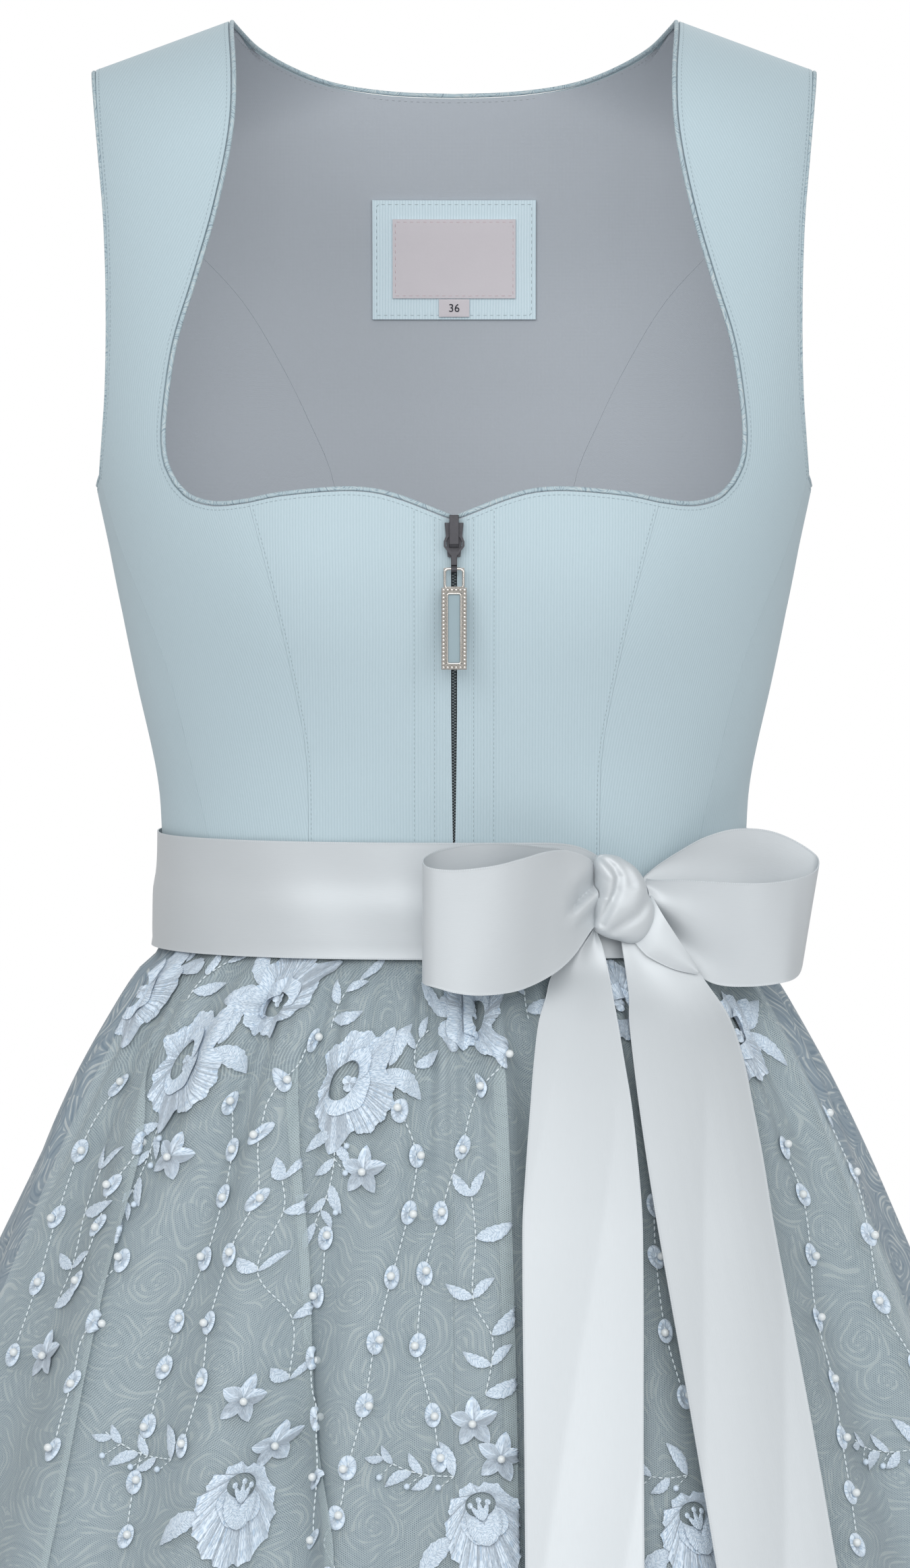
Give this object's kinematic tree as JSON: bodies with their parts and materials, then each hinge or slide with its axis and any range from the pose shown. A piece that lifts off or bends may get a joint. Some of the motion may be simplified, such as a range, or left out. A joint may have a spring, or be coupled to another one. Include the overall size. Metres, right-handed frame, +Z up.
{
  "type": "dirndl",
  "caption": "Sleeveless dirndl with a princess seamed bodice, a zip in front, a gathered skirt, a sheer apron and a satin ribbon tied in a bow.",
  "frame": {"origin": "midway between the shoulders, level with the middle of the shoulder seams, where the wearer's shoulders carry the dress", "axes": "+Z up, -Y out of the garment's front, +X towards the wearer's left arm"},
  "size_m": [0.7062, 0.5989, 1.0315],
  "materials": {
    "bodice_cord": "pale blue fine-rib cotton cord, smooth grey-blue lining inside",
    "piping_print": "narrow piping of the skirt's grey-blue print",
    "skirt_cloth": "grey-blue cotton with a tonal print of curls",
    "apron_tulle": "sheer tulle with pale blue embroidery",
    "satin": "pale blue satin ribbon",
    "zip_metal": "dark gunmetal",
    "silver": "old silver",
    "inlay": "grey-blue enamel",
    "label_woven": "off-white woven label, left bare"
  },
  "bodies": {
    "root": {"bodice_front_centre_left": "bodice_cord", "bodice_front_centre_right": "bodice_cord", "bodice_front_side_left": "bodice_cord", "bodice_front_side_right": "bodice_cord", "bodice_back_side_left": "bodice_cord", "bodice_back_side_right": "bodice_cord", "bodice_back_centre": "bodice_cord", "label_patch": "bodice_cord", "piping_neck": "piping_print", "piping_armhole_left": "piping_print", "piping_armhole_right": "piping_print", "skirt_front_left": "skirt_cloth", "skirt_front_right": "skirt_cloth", "skirt_back_left": "skirt_cloth", "skirt_back_right": "skirt_cloth", "apron": "apron_tulle", "ribbon_waist": "satin", "bow_knot": "satin", "bow_loop_left": "satin", "bow_loop_right": "satin", "bow_tail_left": "satin", "bow_tail_right": "satin", "zip_chain": "zip_metal", "zip_slider": "zip_metal", "label_woven": "label_woven", "label_size_tag": "label_woven"},
    "puller": {"zip_puller": "zip_metal"},
    "pendant": {"pendant_frame": "silver", "pendant_inlay": "inlay"}
  },
  "joints": [
    {"name": "puller_swing", "type": "hinge", "parent": "root", "child": "puller", "pos_m": [0, -0.12324, -0.2135], "axis": [-1, 0, 0], "range_deg": [-3, 120]},
    {"name": "pendant_swing", "type": "hinge", "parent": "puller", "child": "pendant", "pos_m": [0, -0.12324, -0.2275], "axis": [-1, 0, 0], "range_deg": [-8, 100]}
  ]
}
